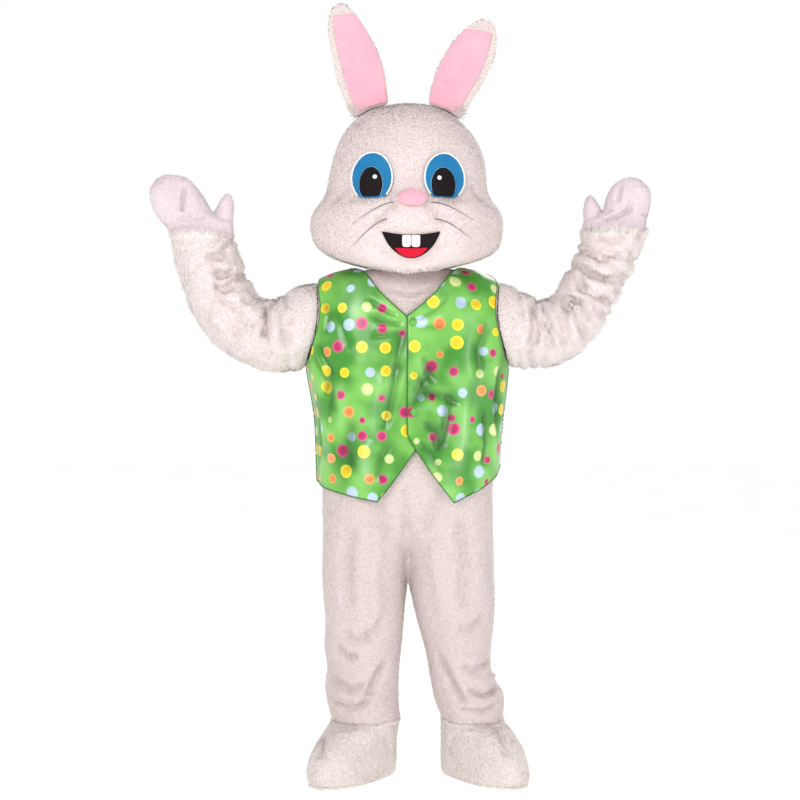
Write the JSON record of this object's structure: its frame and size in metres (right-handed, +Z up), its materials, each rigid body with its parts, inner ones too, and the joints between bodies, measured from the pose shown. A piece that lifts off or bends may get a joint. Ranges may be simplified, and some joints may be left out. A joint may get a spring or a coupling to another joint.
{
  "type": "rabbit mascot costume",
  "caption": "Worn rabbit mascot costume, hollow: plush head with ears, jumpsuit, dotted satin waistcoat, mittens and foot covers, with one arm raised on each side.",
  "frame": {"origin": "the middle of the wearer's shoulders at the base of the neck, 1.31 m above the floor, where the wearer holds the costume up", "axes": "+Z up; the costume faces -Y; +X is the side of the wearer's left hand"},
  "size_m": [1.312, 0.505, 2.046],
  "materials": {
    "plush": "short-pile plush, pale pinkish beige",
    "mitten_plush": "shorter-pile plush, pale pink",
    "foot_plush": "short-pile plush, greyer beige",
    "pink_plush": "smooth pink plush",
    "blue_felt": "blue felt",
    "black_felt": "black felt",
    "white_felt": "white felt",
    "red_felt": "red felt",
    "green_satin": "polyester satin with many-coloured dots",
    "bristle": "stiff dark nylon bristle",
    "sole": "thin light foam-rubber sole"
  },
  "bodies": {
    "root": {"button_lower": "green_satin", "button_upper": "green_satin", "vest_back": "green_satin", "vest_front_left": "green_satin", "vest_front_right": "green_satin", "ear_inner_left": "pink_plush", "ear_inner_right": "pink_plush", "nose": "pink_plush", "ear_left": "plush", "ear_right": "plush", "head_back": "plush", "head_front": "plush", "sleeve_left": "plush", "sleeve_right": "plush", "suit_back_left": "plush", "suit_back_right": "plush", "suit_front_left": "plush", "suit_front_right": "plush", "eye_blue_left": "blue_felt", "eye_blue_right": "blue_felt", "eye_glint_left": "white_felt", "eye_glint_right": "white_felt", "tooth_left": "white_felt", "tooth_right": "white_felt", "eye_pupil_left": "black_felt", "eye_pupil_right": "black_felt", "mouth": "black_felt", "foot_sole_left": "sole", "foot_sole_right": "sole", "foot_upper_left": "foot_plush", "foot_upper_right": "foot_plush", "mitten_back_left": "mitten_plush", "mitten_back_right": "mitten_plush", "mitten_palm_left": "mitten_plush", "mitten_palm_right": "mitten_plush", "mitten_thumb_left": "mitten_plush", "mitten_thumb_right": "mitten_plush", "tongue": "red_felt", "whisker_left_lower": "bristle", "whisker_left_upper": "bristle", "whisker_right_lower": "bristle", "whisker_right_upper": "bristle"}
  },
  "joints": []
}
